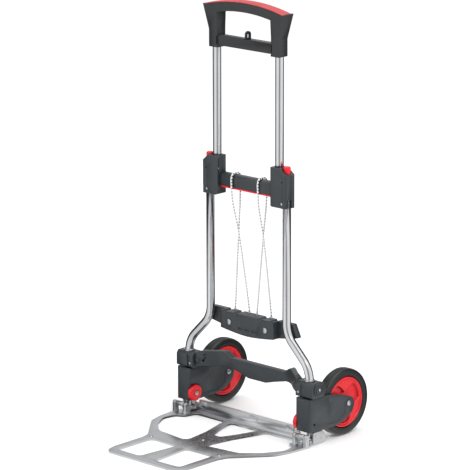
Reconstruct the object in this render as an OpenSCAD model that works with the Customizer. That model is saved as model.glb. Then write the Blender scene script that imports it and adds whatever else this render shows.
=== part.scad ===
// Folding hand truck: two pairs of aluminium tubes, a sliding handle, a toe plate that folds up,
// and two wheels on forks that swing in between the tubes while a bow bar lifts out of their way.
// The tube plane is y = 0 in the modules; the toe plate points to -Y and the wheels to +Y.

/* [Overall] */
// Height of the grip above the floor, handle out
height = 1100; // [1060:5:1180]
// How far the handle slides down
handle_travel = 266; // [120:1:268]
// Half the distance between the two wheel pivots
pivot_half = 208; // [204:1:240]
// Running clearance on the radius of a sliding or turning fit
run_fit = 0.05; // [0.02:0.01:0.10]

/* [Tubes] */
// Outer diameter of all four tubes
tube_d = 22; // [18:0.5:24]
// Wall of the tubes
tube_wall = 1.5; // [1:0.1:2.5]
// Half the distance between the sliding tubes
upper_half = 106; // [102:1:112]
// Sideways step from a sliding tube to the fixed tube beside it
tube_step = 25; // [24.5:0.5:28]
// Radius of the bends, on the centre line
bend_r = 70; // [50:1:90]
// Height at which the lower bend ends
bend_low = 165; // [160:1:175]

/* [Wheels] */
// Outer radius of the tyre
wheel_r = 86; // [80:1:87]
// Width of the tyre
tyre_w = 32; // [26:1:34]
// Radius at which the rim meets the tyre
rim_r = 65; // [58:1:68]
// Distance of the axle behind the pivot
axle_y = 121; // [118:1:124]
// Diameter of the axle
axle_d = 10; // [8:0.5:14]

/* [Forks] */
// Width of a fork over both arms
fork_w = 48; // [44:1:52]
// Thickness of a fork arm
arm_t = 5.5; // [4:0.5:6.5]
// Height of the fork's underside above the floor
fork_low = 37; // [36:0.5:42]
// Height of the fork's top above the floor
fork_top = 123; // [118:0.5:123.5]
// Diameter of the upright pivot shaft
shaft_d = 14; // [10:0.5:16]
// Radius of the guide roller
roller_r = 21; // [16:0.5:21]
// Thickness of the guide roller
roller_t = 11; // [8:0.5:12]

/* [Toe plate] */
// Reach of the toe plate in front of the tubes
toe_reach = 392; // [330:1:470]
// Half width of the toe plate at the back
toe_half = 230; // [222:1:236]
// Thickness of the toe plate
toe_t = 5; // [4:0.5:5.5]
// Height of the upright flange's top
flange_top = 42; // [38:1:43]
// Diameter of the hinge pins
hinge_d = 8; // [5:0.5:8.5]

/* [Handle] */
// Width of the handle's opening
grip_open = 182; // [170:1:186]
// Depth of the grip, front to back
grip_depth = 38; // [32:1:42]
// Height of the handle from its collars to the top
handle_h = 126; // [118:1:140]

/* [Clamps] */
// Height of the clamps
clamp_h = 100; // [90:1:110]
// Height of the clamps' underside above the floor
clamp_z = 597; // [585:1:605]
// Plastic in front of the tubes
clamp_skin = 7; // [5:0.5:9]
// Travel of the release buttons
button_travel = 4; // [3:0.5:5]

/* [Crossbars] */
// Height of the upper crossbar
cross_h = 33; // [26:1:38]
// Depth of the upper crossbar
cross_d = 26; // [20:1:28]
// Half the distance between the two elastic loops
loop_half = 45; // [40:1:52]
// Radius of the elastic cords
cord_r = 2.4; // [1.8:0.1:2.6]
// Thickness of the bow bar
bow_t = 18; // [14:1:20]

/* [Hidden] */
$fn = 64;
eps = 0.01;
tube_r = tube_d / 2;
lower_half = upper_half + tube_step;
frame_y = (toe_reach - axle_y - wheel_r) / 2;  // puts the origin under the middle of the box
wheel_z = wheel_r;

// lower tube: two 45 degree bends joined by a straight piece
bend_a = 45;
bend_side = pivot_half - lower_half;
bend_run = (bend_side - 2 * bend_r * (1 - cos(bend_a))) / sin(bend_a);
bend_top = bend_low + 2 * bend_r * sin(bend_a) + bend_run * cos(bend_a);
tube_low = 150;
ring_h = 4;

// clamps
clamp_top = clamp_z + clamp_h;
clamp_front = -(tube_r + clamp_skin);
clamp_back = tube_r + 5;
clamp_in = upper_half - tube_r - 5;
clamp_out = lower_half + tube_r + 4;
clamp_split = 3;                      // the seam between the clamp's body and its cover
lower_tube_top = clamp_top - 38;
spring_low = lower_tube_top + 3;      // the springs stand on a web above the fixed tubes
button_r = tube_r - 1.5;
button_top = clamp_top + 4;
button_low = clamp_top - 16;
bush_h = 12;
bush_wall = 2;
upper_tube_low = clamp_z + 9;
upper_tube_top = height - 60;

// upper crossbar
cross_low = clamp_z + 25;
cross_front = -10;
cross_back = cross_front + cross_d;
strip_t = 4;

// anchor bar
anchor_top = 295;
anchor_low = 241;
anchor_front = -6;
anchor_back = 27;
anchor_half = 140;
anchor_step = upper_half - tube_r - 4;     // the stepped part clears the sliding tubes
hook_x = [13, 62];

// knuckles and upright pivots
knuckle_low = fork_top + 2;
knuckle_top = bend_low;
knuckle_half = 29;
shaft_top = tube_low - 1;
shaft_low = 8;
bush_d = shaft_d + 5;
flange_d = shaft_d + 12;
flange_t = 1.8;
bush_seat = 14;                        // length of a bush inside the fork
bow_z = 147;                           // height of the bow bar's pins
bow_pin_d = 8;
bow_end = pivot_half - knuckle_half - 1;
bow_boss_t = 12;
bow_boss_r = 13.5;
bow_curve = 74;                        // length over which the bar swings back from its ends

// forks
fork_front = -25;
fork_half = fork_w / 2;
slot_front = axle_y - wheel_r - 5;
roller_y = -8;
roller_z = fork_low + roller_r - 1;
roller_seat = fork_half - 4;           // how deep the roller sits in the fork's side
roller_x = roller_seat + roller_t / 2 + 0.5;
roller_pin_d = 7;

// toe plate hinge
hinge_y = -33;
hinge_z = 28;
barrel_r = 6.5;
foot_in = pivot_half - 13;
foot_out = pivot_half + 14;
lug_t = 9;
lug_gap = 0.5;
foot_z = 2;                            // the feet clear the floor by this much
toe_back = -14;
strip_back = 1;                        // the plate reaches further back between the feet
flange_front = -9;
flange_half = 165;
flange_end = 181;
flange_low = 32;                       // the flange is lower beside the rollers
window_back = -12;

// handle
collar_low = height - handle_h;
collar_h = 45;
grip_half = 136;
grip_t = 26;
pad_t = 3.5;
bar_low = collar_low + 6;
bar_h = 25;

plastic = [0.24, 0.27, 0.29];
black = [0.08, 0.08, 0.09];
red = [0.85, 0.13, 0.14];
alu = [0.80, 0.81, 0.83];
steel = [0.70, 0.71, 0.73];

// ---------- shared helpers ----------

// Everything is drawn with the tubes at y = 0 and moved into the part's own frame here.
module placed() {
    translate([0, frame_y, 0]) children();
}

// Draws the right-hand piece, or its mirror image for side = -1.
module on_side(side) {
    placed() mirror([side < 0 ? 1 : 0, 0, 0]) children();
}

module rod_x(r, x0, x1) {
    translate([x0, 0, 0]) rotate([0, 90, 0]) cylinder(r = r, h = x1 - x0);
}

module rod_y(r, y0, y1) {
    translate([0, y1, 0]) rotate([90, 0, 0]) cylinder(r = r, h = y1 - y0);
}

module ring_z(ro, ri, z0, z1) {
    translate([0, 0, z0]) difference() {
        cylinder(r = ro, h = z1 - z0);
        translate([0, 0, -1]) cylinder(r = ri, h = z1 - z0 + 2);
    }
}

// Points of one rounded corner: p is the corner as [x, y, radius], a and b are its neighbours.
function corner(a, p, b, n) =
    let(ua = [a[0] - p[0], a[1] - p[1]], ub = [b[0] - p[0], b[1] - p[1]],
        va = ua / norm(ua), vb = ub / norm(ub),
        half = acos(max(-1, min(1, va * vb))) / 2,
        mid = (va + vb) / norm(va + vb),
        c = [p[0], p[1]] + mid * p[2] / sin(half),
        pa = [p[0], p[1]] + va * p[2] / tan(half),
        pb = [p[0], p[1]] + vb * p[2] / tan(half),
        a0 = atan2(pa[1] - c[1], pa[0] - c[0]),
        a1 = atan2(pb[1] - c[1], pb[0] - c[0]),
        d = a1 - a0 > 180 ? a1 - a0 - 360 : a1 - a0 < -180 ? a1 - a0 + 360 : a1 - a0)
    p[2] == 0 ? [[p[0], p[1]]]
              : [for (i = [0:n]) c + p[2] * [cos(a0 + d * i / n), sin(a0 + d * i / n)]];

// Outline with every corner rounded by its third number.
function rounded(pts, n = 5) =
    let(m = len(pts))
    [for (i = [0:m - 1]) each corner(pts[(i + m - 1) % m], pts[i], pts[(i + 1) % m], n)];

// The outline and its mirror image about x = 0, for shapes that are the same on both sides.
function both_sides(half) =
    concat(half, [for (i = [len(half) - 1:-1:0]) [-half[i][0], half[i][1], half[i][2]]]);

// Extrudes an outline drawn in x and z along y.
module slab_y(y0, y1) {
    translate([0, y1, 0]) rotate([90, 0, 0]) linear_extrude(y1 - y0) children();
}

// Extrudes an outline drawn in y and z along x.
module slab_x(x0, x1) {
    translate([x0, 0, 0]) rotate([90, 0, 90]) linear_extrude(x1 - x0) children();
}

// Circles of radius r along a list of points, closed at both ends; hollow where bore > 0.
module swept(path, r, sides = 8, bore = 0) {
    n = len(path);
    m = n * sides;
    dirs = [for (i = [0:n - 1])
        let(d = path[min(i + 1, n - 1)] - path[max(i - 1, 0)]) d / norm(d)];
    function ring(i, rad) =
        let(side_way = abs(dirs[i][0]) > 0.9 ? [0, 1, 0] : [1, 0, 0],
            u0 = cross(dirs[i], [0, 1, 0]), w0 = norm(u0) < 0.3 ? cross(dirs[i], side_way) : u0,
            u = w0 / norm(w0), v = cross(dirs[i], u))
        [for (k = [0:sides - 1])
            path[i] + rad * (u * cos(360 * k / sides) + v * sin(360 * k / sides))];
    wall = [for (i = [0:n - 2]) for (k = [0:sides - 1])
        [i * sides + k, i * sides + (k + 1) % sides,
         (i + 1) * sides + (k + 1) % sides, (i + 1) * sides + k]];
    inner = [for (f = wall) [f[3] + m, f[2] + m, f[1] + m, f[0] + m]];
    solid_ends = [[for (k = [sides - 1:-1:0]) k], [for (k = [0:sides - 1]) m - sides + k]];
    ring_ends = [for (k = [0:sides - 1]) let(j = (k + 1) % sides) each [
        [k, k + m, j + m, j],
        [m - sides + j, 2 * m - sides + j, 2 * m - sides + k, m - sides + k]]];
    polyhedron(
        concat([for (i = [0:n - 1]) each ring(i, r)],
               bore > 0 ? [for (i = [0:n - 1]) each ring(i, bore)] : []),
        concat(wall, bore > 0 ? inner : [], bore > 0 ? ring_ends : solid_ends));
}

// ---------- fixed tubes ----------

// Centre line of a bent tube, from its top end down: straight, two bends, straight.
function bent_path(n = 7) = concat(
    [[lower_half, 0, lower_tube_top]],
    [for (i = [0:n]) let(a = bend_a * i / n)
        [lower_half + bend_r * (1 - cos(a)), 0, bend_top - bend_r * sin(a)]],
    [for (i = [n:-1:0]) let(a = bend_a * i / n)
        [pivot_half - bend_r * (1 - cos(a)), 0, bend_low + bend_r * sin(a)]],
    [[pivot_half, 0, tube_low]]);

module lower_tube(side) {
    color(alu) on_side(side) swept(bent_path(), tube_r, 24, tube_r - tube_wall);
}

module tube_rings() {
    color(plastic) for (side = [-1, 1]) on_side(side) translate([pivot_half, 0, 0])
        ring_z(tube_r + 3, tube_r + 0.4, knuckle_top + 0.1, knuckle_top + ring_h);
}

// ---------- clamps, buttons and upper crossbar ----------

// Plan of the clamp, seen from above.
module clamp_plan() {
    polygon(rounded([
        [clamp_in, clamp_front, 3], [clamp_out - 2, clamp_front, 9], [clamp_out, clamp_back, 7],
        [clamp_in, clamp_back, 3]], 6));
}

// Front view of the clamp: its top slopes down past the button.
module clamp_face() {
    polygon(rounded([
        [clamp_in - 2, clamp_z + 3, 2], [clamp_in + 6, clamp_z, 3], [clamp_out + 2, clamp_z, 0],
        [clamp_out + 2, clamp_top - 18, 2], [clamp_out - 9, clamp_top - 13, 3],
        [lower_half - 9, clamp_top, 4], [clamp_in - 2, clamp_top, 0]], 4));
}

module clamp_block(y0, y1) {
    intersection() {
        translate([0, 0, clamp_z - 1]) linear_extrude(clamp_h + 2) clamp_plan();
        slab_y(y0, y1) clamp_face();
    }
}

// Room for the sliding tube, its bush, the fixed tube, the button and its spring.
module clamp_bores() {
    translate([upper_half, 0, clamp_z - 1]) cylinder(r = tube_r + 0.5, h = clamp_h + 2);
    translate([upper_half, 0, clamp_top - bush_h])
        cylinder(r = tube_r + bush_wall, h = bush_h + 1);
    translate([lower_half, 0, clamp_z - 1])
        cylinder(r = tube_r + run_fit, h = lower_tube_top - clamp_z + 1 + run_fit);
    translate([lower_half, 0, spring_low]) cylinder(r = button_r + 0.3, h = clamp_h);
}

module clamp(side) {
    color(plastic) on_side(side) difference() {
        clamp_block(clamp_front, clamp_split);
        clamp_bores();
        // notch under the outer front corner, and the small sight hole
        translate([clamp_out - 5, clamp_front - 1, clamp_z - 1])
            cube([10, clamp_split - clamp_front + 2, 22]);
        translate([lower_half - 1, 0, clamp_z + 66]) rod_y(2, clamp_front - 1, clamp_front + 4);
        // counterbores of the lower screws
        translate([lower_half - 3, 0, clamp_z + 11]) rod_y(4.2, clamp_front - 1, clamp_front + 2);
        // groove along the inner edge
        translate([clamp_in - 1, clamp_front + 3, clamp_z + 30]) cube([2.5, 2.5, clamp_h - 36]);
    }
}

module clamp_cover(side) {
    color(plastic) on_side(side) difference() {
        clamp_block(clamp_split + 0.1, clamp_back);
        clamp_bores();
    }
}

module clamp_bushes() {
    color(black) for (side = [-1, 1]) on_side(side) translate([upper_half, 0, 0])
        ring_z(tube_r + bush_wall - 0.02, tube_r + run_fit, clamp_top - bush_h, clamp_top - 0.5);
}

module clamp_screws() {
    color(steel) for (side = [-1, 1]) on_side(side) {
        translate([lower_half - 3, 0, clamp_z + 11]) rod_y(3.2, clamp_front + 0.5, clamp_front + 2);
        translate([0, -13, clamp_z + 68]) rod_x(2.2, clamp_in - 1, clamp_in);
    }
}

module release_button(side) {
    color(red) on_side(side) translate([lower_half, 0, 0]) {
        translate([0, 0, button_low]) cylinder(r = button_r, h = button_top - button_low - 2);
        translate([0, 0, button_top - 2]) cylinder(r1 = button_r, r2 = button_r - 2, h = 2);
    }
}

// Compression spring, drawn as a stack of rings.
module button_spring(side) {
    coils = 6;
    pitch = (button_low - spring_low) / coils;
    color(steel) on_side(side)
        for (i = [0:coils - 1])
            translate([lower_half, 0, spring_low + pitch * (i + 0.5)])
                rotate_extrude() translate([button_r - 3, 0]) circle(r = pitch * 0.3, $fn = 16);
}

module cross_profile() {
    polygon(rounded([
        [cross_front, cross_low, 3], [cross_back, cross_low, 3],
        [cross_back, cross_low + cross_h, 9], [cross_front, cross_low + cross_h, 9]], 6));
}

module upper_crossbar() {
    color(plastic) placed() slab_x(-clamp_in + 0.1, clamp_in - 0.1) cross_profile();
}

module crossbar_strip() {
    color(red) placed()
        translate([-clamp_in + 2, cross_front + 1.5, cross_low - strip_t])
            cube([2 * clamp_in - 4, cross_d - 3, strip_t]);
}

// ---------- elastic cords and anchor bar ----------

// Half-loop over the crossbar, then down to two hooks: front_x and back_x are the hooks' places.
function cord_path(loop_x, front_x, back_x) =
    let(gap = cord_r + 0.8, zt = cross_low + cross_h + gap, zb = cross_low - strip_t - 2,
        yf = cross_front - gap, yb = cross_back + gap, ym = (yf + yb) / 2, hz = anchor_top + 6.4)
    [[front_x, 18, hz], [front_x + (loop_x - front_x) * 0.30, 11, hz + 95],
     [front_x + (loop_x - front_x) * 0.65, 1, hz + 205],
     [loop_x, yf, zb], [loop_x, yf, zb + 12], [loop_x, yf, zt - 11], [loop_x, yf + 2, zt - 4.5],
     [loop_x, yf + 7, zt - 0.6], [loop_x, ym, zt], [loop_x, yb - 7, zt - 0.6],
     [loop_x, yb - 2, zt - 4.5], [loop_x, yb, zt - 11], [loop_x, yb, zb + 12], [loop_x, yb, zb],
     [back_x + (loop_x - back_x) * 0.65, 19, hz + 205],
     [back_x + (loop_x - back_x) * 0.30, 18.5, hz + 95], [back_x, 18, hz]];

module bungee_cord_left() {
    color("white") placed() swept(cord_path(-loop_half, -hook_x[0], -hook_x[1]), cord_r);
}

module bungee_cord_right() {
    color("white") placed() swept(cord_path(loop_half, hook_x[1], hook_x[0]), cord_r);
}

// Front view of the anchor bar: a flat top with notches and an arched belly.
module anchor_face() {
    belly = [for (i = [-10:10])
        let(x = i * 15.6) [x, anchor_low + 21 * pow(abs(x) / 156, 1.6), 0]];
    polygon(rounded(concat(
        belly, [[anchor_half, anchor_top, 5]],
        [for (x = [80, 43, -43, -80]) each
            [[x + 7, anchor_top, 0], [x + 4, anchor_top - 4, 0], [x - 4, anchor_top - 4, 0],
             [x - 7, anchor_top, 0]]],
        [[-anchor_half, anchor_top, 5]]), 4));
}

module anchor_bar() {
    color(plastic) placed() difference() {
        union() {
            slab_y(tube_r + 1.5, anchor_back) anchor_face();
            intersection() {
                slab_y(anchor_front, tube_r + 2) anchor_face();
                translate([-anchor_step, -50, 0]) cube([2 * anchor_step, 100, height]);
            }
            // pads that meet the backs of the bent tubes
            for (x = [-1, 1] * (lower_half - 1)) translate([x - 9, tube_r + run_fit, anchor_top - 29])
                cube([18, 3, 25]);
        }
        // the cords' hooks stand in these blind holes
        for (x = hook_x, s = [-1, 1]) translate([s * x, 18, anchor_top - 14]) cylinder(r = 3, h = 30);
        // oval windows in the front face
        for (x = [-24, 0, 24]) translate([x, 0, anchor_low + 17])
            slab_y(anchor_front - 1, anchor_front + 2)
                polygon(rounded([[-8, -3, 2.9], [8, -3, 2.9], [8, 3, 2.9], [-8, 3, 2.9]], 6));
    }
}

module cord_hooks() {
    color(steel) placed() for (x = hook_x, s = [-1, 1]) translate([s * x, 18, 0])
        cylinder_between(anchor_top - 13.9, anchor_top + 6, 2.9);
}

module cylinder_between(z0, z1, r) {
    translate([0, 0, z0]) cylinder(r = r, h = z1 - z0);
}

module anchor_rivets() {
    color(steel) placed() {
        for (x = [-62, 62]) translate([x, 0, anchor_top - 26]) {
            rod_y(7, anchor_front - 1.6, anchor_front);
            rod_y(2.5, anchor_front - 2.4, anchor_front - 1.6);
        }
        for (x = [-lower_half + 6, lower_half - 6]) translate([x, 0, anchor_top - 16])
            rod_y(4, anchor_back, anchor_back + 2);
    }
}

// ---------- knuckles, bow bar, upright pivots and feet ----------

module knuckle_side() {
    polygon(rounded([
        [-20, knuckle_low, 5], [24, knuckle_low, 8], [37, 143, 6], [27, knuckle_top - 4, 8],
        [12, knuckle_top, 3], [-14, knuckle_top, 4], [-20, knuckle_top - 8, 4]], 5));
}

module knuckle(side) {
    color(plastic) on_side(side) difference() {
        union() {
            slab_x(pivot_half - knuckle_half, pivot_half + knuckle_half - 2) knuckle_side();
            translate([0, 3, bow_z]) rod_x(17, pivot_half + knuckle_half - 5,
                pivot_half + knuckle_half + 1.5);
        }
        translate([pivot_half, 0, tube_low]) cylinder(r = tube_r + run_fit, h = 40);
        translate([pivot_half, 0, knuckle_low - 1]) cylinder(r = shaft_d / 2 + run_fit, h = 60);
        translate([0, 0, bow_z]) rod_x(bow_pin_d / 2 + run_fit, pivot_half - knuckle_half - 1,
            pivot_half - knuckle_half + 12);
        // seam across the front, ring groove round the boss
        translate([pivot_half - 12, -21, knuckle_low - 1]) cube([2, 3, 60]);
        translate([pivot_half + knuckle_half, 3, bow_z]) rotate([0, 90, 0])
            difference() {
                cylinder(r = 13, h = 5);
                translate([0, 0, -1]) cylinder(r = 11.5, h = 7);
            }
    }
}

module knuckle_rivets() {
    color(steel) for (side = [-1, 1]) on_side(side) {
        translate([0, 3, bow_z]) rod_x(3.6, pivot_half + knuckle_half + 1.5,
            pivot_half + knuckle_half + 3.5);
        translate([pivot_half - 20, 0, knuckle_low + 12]) rod_y(3, -21.2, -20);
    }
}

// Plan of the bow bar: it leaves the knuckles at the tubes and bows backwards round the wheels.
function bow_front(x) =
    let(t = max(0, min(1, (bow_end - abs(x)) / bow_curve)))
    -11 + 43 * (t * t * (3 - 2 * t));

module bow_plan() {
    n = 30;
    xs = [for (i = [0:n]) -bow_end + 2 * bow_end * i / n];
    polygon(concat(
        [for (x = xs) [x, bow_front(x)]],
        [for (i = [n:-1:0]) [xs[i], bow_front(xs[i]) + bow_t]]));
}

// Front view of the bow bar: raised shoulders at both ends and a deep belly in the middle.
module bow_face() {
    half = [
        [0, 116, 0], [30, 117, 20], [62, 126, 30], [100, 135, 20], [bow_end, bow_z - 15, 0],
        [bow_end, bow_z + 18, 6], [bow_end - 14, 172, 8], [112, 172, 14], [92, 158, 14], [0, 157, 0]];
    ccw = rounded(concat(
        [for (i = [1:8]) half[i]],
        [for (i = [8:-1:1]) [-half[i][0], half[i][1], half[i][2]]]), 5);
    polygon(ccw);
}

module bow_bar() {
    color(plastic) placed() difference() {
        union() {
            intersection() {
                translate([0, 0, 100]) linear_extrude(90) bow_plan();
                slab_y(-30, 80) bow_face();
            }
            for (s = [-1, 1]) mirror([s < 0 ? 1 : 0, 0, 0]) translate([0, 0, bow_z])
                rod_x(bow_boss_r, bow_end - bow_boss_t, bow_end);
        }
        for (s = [-1, 1]) mirror([s < 0 ? 1 : 0, 0, 0]) {
            translate([0, 0, bow_z])
                rod_x(bow_pin_d / 2 + run_fit, bow_end - bow_boss_t - 12, bow_end + 1);
            // two pockets beside the boss
            translate([bow_end - 32, -14, 160.5]) cube([11, 17, 3]);
            translate([bow_end - 31, -14, 150.5]) cube([8, 17, 6]);
        }
    }
}

module bow_bar_pins() {
    color(steel) for (side = [-1, 1]) on_side(side) translate([0, 0, bow_z])
        rod_x(bow_pin_d / 2, bow_end - bow_boss_t + 1, pivot_half - knuckle_half + 11.9);
}

module pivot_shaft(side) {
    color(steel) on_side(side) translate([pivot_half, 0, shaft_low])
        cylinder(r = shaft_d / 2, h = shaft_top - shaft_low);
}

// Cast foot: holds the upright shaft, carries the hinge barrel and stands on the floor.
module foot(side) {
    ear_front = -6;
    ear_back = 40;
    ear_t = 5;
    color(alu) on_side(side) difference() {
        union() {
            translate([foot_in, -12, foot_z]) cube([foot_out - foot_in, 24, 12]);
            translate([pivot_half, 0, 0]) cylinder_between(foot_z + 11, foot_z + 15, shaft_d / 2 + 3.5);
            // arm up to the barrel
            slab_x(foot_in + 3, foot_out - 3) polygon([
                [hinge_y - 4, hinge_z - 4], [hinge_y + 9, 20], [-12, toe_t + 1], [-6, toe_t + 1],
                [-6, 14], [-12, 16], [hinge_y + 6, hinge_z + 4], [hinge_y, hinge_z + 6]]);
            translate([0, hinge_y, hinge_z]) rod_x(barrel_r, foot_in, foot_out);
            // base plate and the upright ear outside it
            translate([foot_in, ear_front, foot_z])
                cube([foot_out - foot_in + ear_t - 1, ear_back - ear_front - 2, 6]);
            slab_x(foot_out - eps, foot_out + ear_t) polygon(rounded([
                [ear_front, foot_z, 2], [ear_back - 2, foot_z, 3], [ear_back, 20, 3],
                [30, 33, 3], [ear_front, 33, 3]], 4));
        }
        translate([pivot_half, 0, shaft_low]) cylinder(r = shaft_d / 2 + run_fit, h = 40);
        translate([0, hinge_y, hinge_z]) rod_x(hinge_d / 2 + run_fit, foot_in - 1, foot_out + 1);
    }
}

module foot_screws() {
    color(steel) for (side = [-1, 1]) on_side(side) for (p = [[4, 24], [26, 14]])
        translate([0, p[0], p[1]]) rod_x(3, foot_out + 5, foot_out + 6.5);
}

module hinge_pins() {
    color(steel) for (side = [-1, 1]) on_side(side) translate([0, hinge_y, hinge_z])
        rod_x(hinge_d / 2, foot_in - lug_gap - lug_t - 1, foot_out + lug_gap + lug_t + 1);
}

// ---------- handle ----------

module upper_tube(side) {
    color(alu) on_side(side) translate([upper_half, 0, 0])
        ring_z(tube_r, tube_r - tube_wall, upper_tube_low, upper_tube_top);
}

module tube_plugs() {
    color(black) for (side = [-1, 1]) on_side(side) translate([upper_half, 0, 0]) {
        cylinder_between(upper_tube_low, upper_tube_low + 14, tube_r - tube_wall - 0.02);
        cylinder_between(upper_tube_low - 3, upper_tube_low, tube_r - 0.3);
    }
}

// Front view of the handle: arched grip, slanted shoulders, two collars and a crossbar.
module handle_face() {
    arch = [for (i = [-8:8]) let(x = i * grip_half / 8) [x, arch_z(x), 0]];
    inner = [for (i = [-8:8])
        let(x = i * grip_open / 16) [x, height - grip_t - 9 * pow(2 * x / grip_open, 2), 0]];
    post_out = upper_half + 13;
    difference() {
        polygon(rounded(concat(
            [for (i = [16:-1:0]) arch[i]],
            [[-post_out, collar_low + collar_h, 12], [-post_out, collar_low, 3],
             [-grip_open / 2 + 1, collar_low, 2], [-grip_open / 2 + 1, bar_low, 0],
             [grip_open / 2 - 1, bar_low, 0], [grip_open / 2 - 1, collar_low, 2],
             [post_out, collar_low, 3], [post_out, collar_low + collar_h, 12]]), 4));
        polygon(concat(
            [for (i = [16:-1:0]) [inner[i][0], inner[i][1]]],
            [[-grip_open / 2, bar_low + bar_h], [grip_open / 2, bar_low + bar_h]]));
    }
}

// Side view of the handle: deep at the grip, slimmer at the collars.
module handle_side() {
    d = grip_depth / 2;
    polygon(rounded([
        [-15, collar_low, 2], [15, collar_low, 2], [15, collar_low + collar_h, 20],
        [d - 1, height - 16, 10], [d - 6, height + 1, 4], [-d + 2, height + 1, 6],
        [-d, height - 12, 10], [-15, collar_low + collar_h, 20]], 5));
}

module handle_frame() {
    post_top = upper_tube_top + 0.2;
    color(plastic) placed() difference() {
        intersection() {
            slab_y(-40, 40) handle_face();
            slab_x(-200, 200) handle_side();
        }
        // the grip pad caps the arch from front to back
        pad_band(0);
        for (s = [-1, 1]) translate([s * upper_half, 0, collar_low - 1])
            cylinder(r = tube_r + run_fit, h = post_top - collar_low + 1);
        // the crossbar is slimmer than the posts
        for (y = [-40, 12]) translate([-grip_open / 2, y, bar_low - 1])
            cube([grip_open, 28, bar_h + 2]);
        // slot where the crossbar enters the left-hand post
        for (s = [-1, 1]) translate([s * (grip_open / 2 + 2) - 1.5, -17, bar_low + 3])
            cube([3, 4, bar_h - 4]);
    }
}

// Front view of the cap on top of the arch, between two arches.
function arch_z(x) = height - 18 * pow(x / grip_half, 2);

module pad_band(gap) {
    n = 16;
    half = grip_half - 3 - gap;
    xs = [for (i = [0:n]) -half + 2 * half * i / n];
    slab_y(-grip_depth, grip_depth) polygon(concat(
        [for (x = xs) [x, arch_z(x) - pad_t + gap]],
        [for (i = [n:-1:0]) [xs[i], arch_z(xs[i]) + (gap > 0 ? 0 : 4)]]));
}

module grip_pad() {
    color(red) placed() intersection() {
        pad_band(0.1);
        slab_x(-grip_half, grip_half) handle_side();
    }
}

module handle_hook() {
    color(black) placed() translate([0, 0, bar_low + bar_h]) difference() {
        slab_x(-3, 3) polygon(rounded([[-9, 0, 0], [-9, 20, 8.5], [9, 20, 8.5], [9, 0, 0]], 8));
        slab_x(-4, 4) polygon(rounded([[-4, 3, 2], [-4, 14, 3.8], [4, 14, 3.8], [4, 3, 2]], 8));
    }
}

// ---------- forks, wheels and rollers ----------

// Side view of the fork: a block round the shaft and an arm that reaches to the axle.
module fork_profile() {
    z = wheel_z;
    polygon(rounded([
        [fork_front, fork_low, 4], [72, fork_low, 30], [104, z - 44, 30],
        [axle_y + 14, z - 26, 22], [axle_y + 26, z, 22], [axle_y + 12, z + 14, 16],
        [axle_y - 31, fork_top - 8, 60], [48, fork_top, 40], [fork_front, fork_top, 4]], 6));
}

module fork(side) {
    color(plastic) on_side(side) translate([pivot_half, 0, 0]) difference() {
        intersection() {
            slab_x(-fork_half, fork_half) fork_profile();
            linear_extrude(200) polygon(rounded([
                [-fork_half, fork_front, 4], [fork_half, fork_front, 10],
                [fork_half, 170, 0], [-fork_half, 170, 0]], 6));
        }
        // slot for the wheel
        translate([-fork_half + arm_t, slot_front, 0]) cube([fork_w - 2 * arm_t, 200, 200]);
        cylinder(r = bush_d / 2 + run_fit, h = 200);
        translate([0, axle_y, wheel_z]) rod_x(axle_d / 2 + run_fit, -fork_w, fork_w);
        // seat of the guide roller, open to the front and below, and its pin's bore
        translate([0, roller_y, roller_z]) {
            rod_x(roller_r + 3, -fork_half - 1, -roller_seat);
            rod_x(roller_pin_d / 2 + run_fit, -roller_seat - 1, -roller_seat + 9);
        }
        // blind hole in the outer face
        translate([0, roller_y, roller_z]) rod_x(3.5, fork_half - 6, fork_half + 1);
        // panel line along the arm's outer face
        fork_panel(fork_half - 0.8, fork_half + 1);
        fork_panel(-fork_half - 1, -fork_half + 0.8);
    }
}

// A sunken panel that leaves a rim round the end of the arm.
module fork_panel(x0, x1) {
    slab_x(x0, x1) polygon(rounded([
        [52, fork_low + 8, 8], [84, fork_low + 10, 14], [axle_y - 14, wheel_z - 26, 14],
        [axle_y - 12, wheel_z + 6, 12], [axle_y - 36, fork_top - 18, 12],
        [46, fork_top - 14, 8]], 5));
}

// Bush pressed into the fork's bore, with its flange outside; up = -1 turns it over.
module flanged_bush(z, up) {
    translate([0, 0, z]) mirror([0, 0, up < 0 ? 1 : 0]) difference() {
        union() {
            cylinder_between(-flange_t, bush_seat, bush_d / 2);
            cylinder_between(-flange_t, 0, flange_d / 2);
        }
        cylinder_between(-flange_t - 1, bush_seat + 1, shaft_d / 2 + run_fit);
    }
}

module fork_bushes(side) {
    color(black) on_side(side) translate([pivot_half, 0, 0]) {
        flanged_bush(fork_low, 1);
        flanged_bush(fork_top, -1);
    }
}

module axle(side) {
    color(steel) on_side(side) translate([pivot_half, axle_y, wheel_z]) {
        rod_x(axle_d / 2, -fork_half - 0.5, fork_half + 0.5);
        for (s = [-1, 1]) rod_x(axle_d / 2 + 2, s < 0 ? -fork_half - 2.5 : fork_half + 0.3,
            s < 0 ? -fork_half - 0.3 : fork_half + 2.5);
    }
}

module roller_pin(side) {
    color(steel) on_side(side) translate([pivot_half, roller_y, roller_z]) {
        rod_x(roller_pin_d / 2, -roller_x - roller_t / 2 - 0.5, -roller_seat + 8.9);
        rod_x(6, -roller_x - roller_t / 2 - 2, -roller_x - roller_t / 2 - 0.3);
    }
}

module roller(side) {
    color(red) on_side(side) translate([pivot_half - roller_x, roller_y, roller_z])
        rotate([0, 90, 0]) rotate_extrude() difference() {
            translate([roller_pin_d / 2 + run_fit, -roller_t / 2])
                polygon(rounded([
                    [0, 0, 0], [roller_r - roller_pin_d / 2 - run_fit, 0, 2],
                    [roller_r - roller_pin_d / 2 - run_fit, roller_t, 2], [0, roller_t, 0]], 4));
            translate([9.5, -roller_t / 2 - 1]) square([2, 2]);
        }
}

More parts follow.
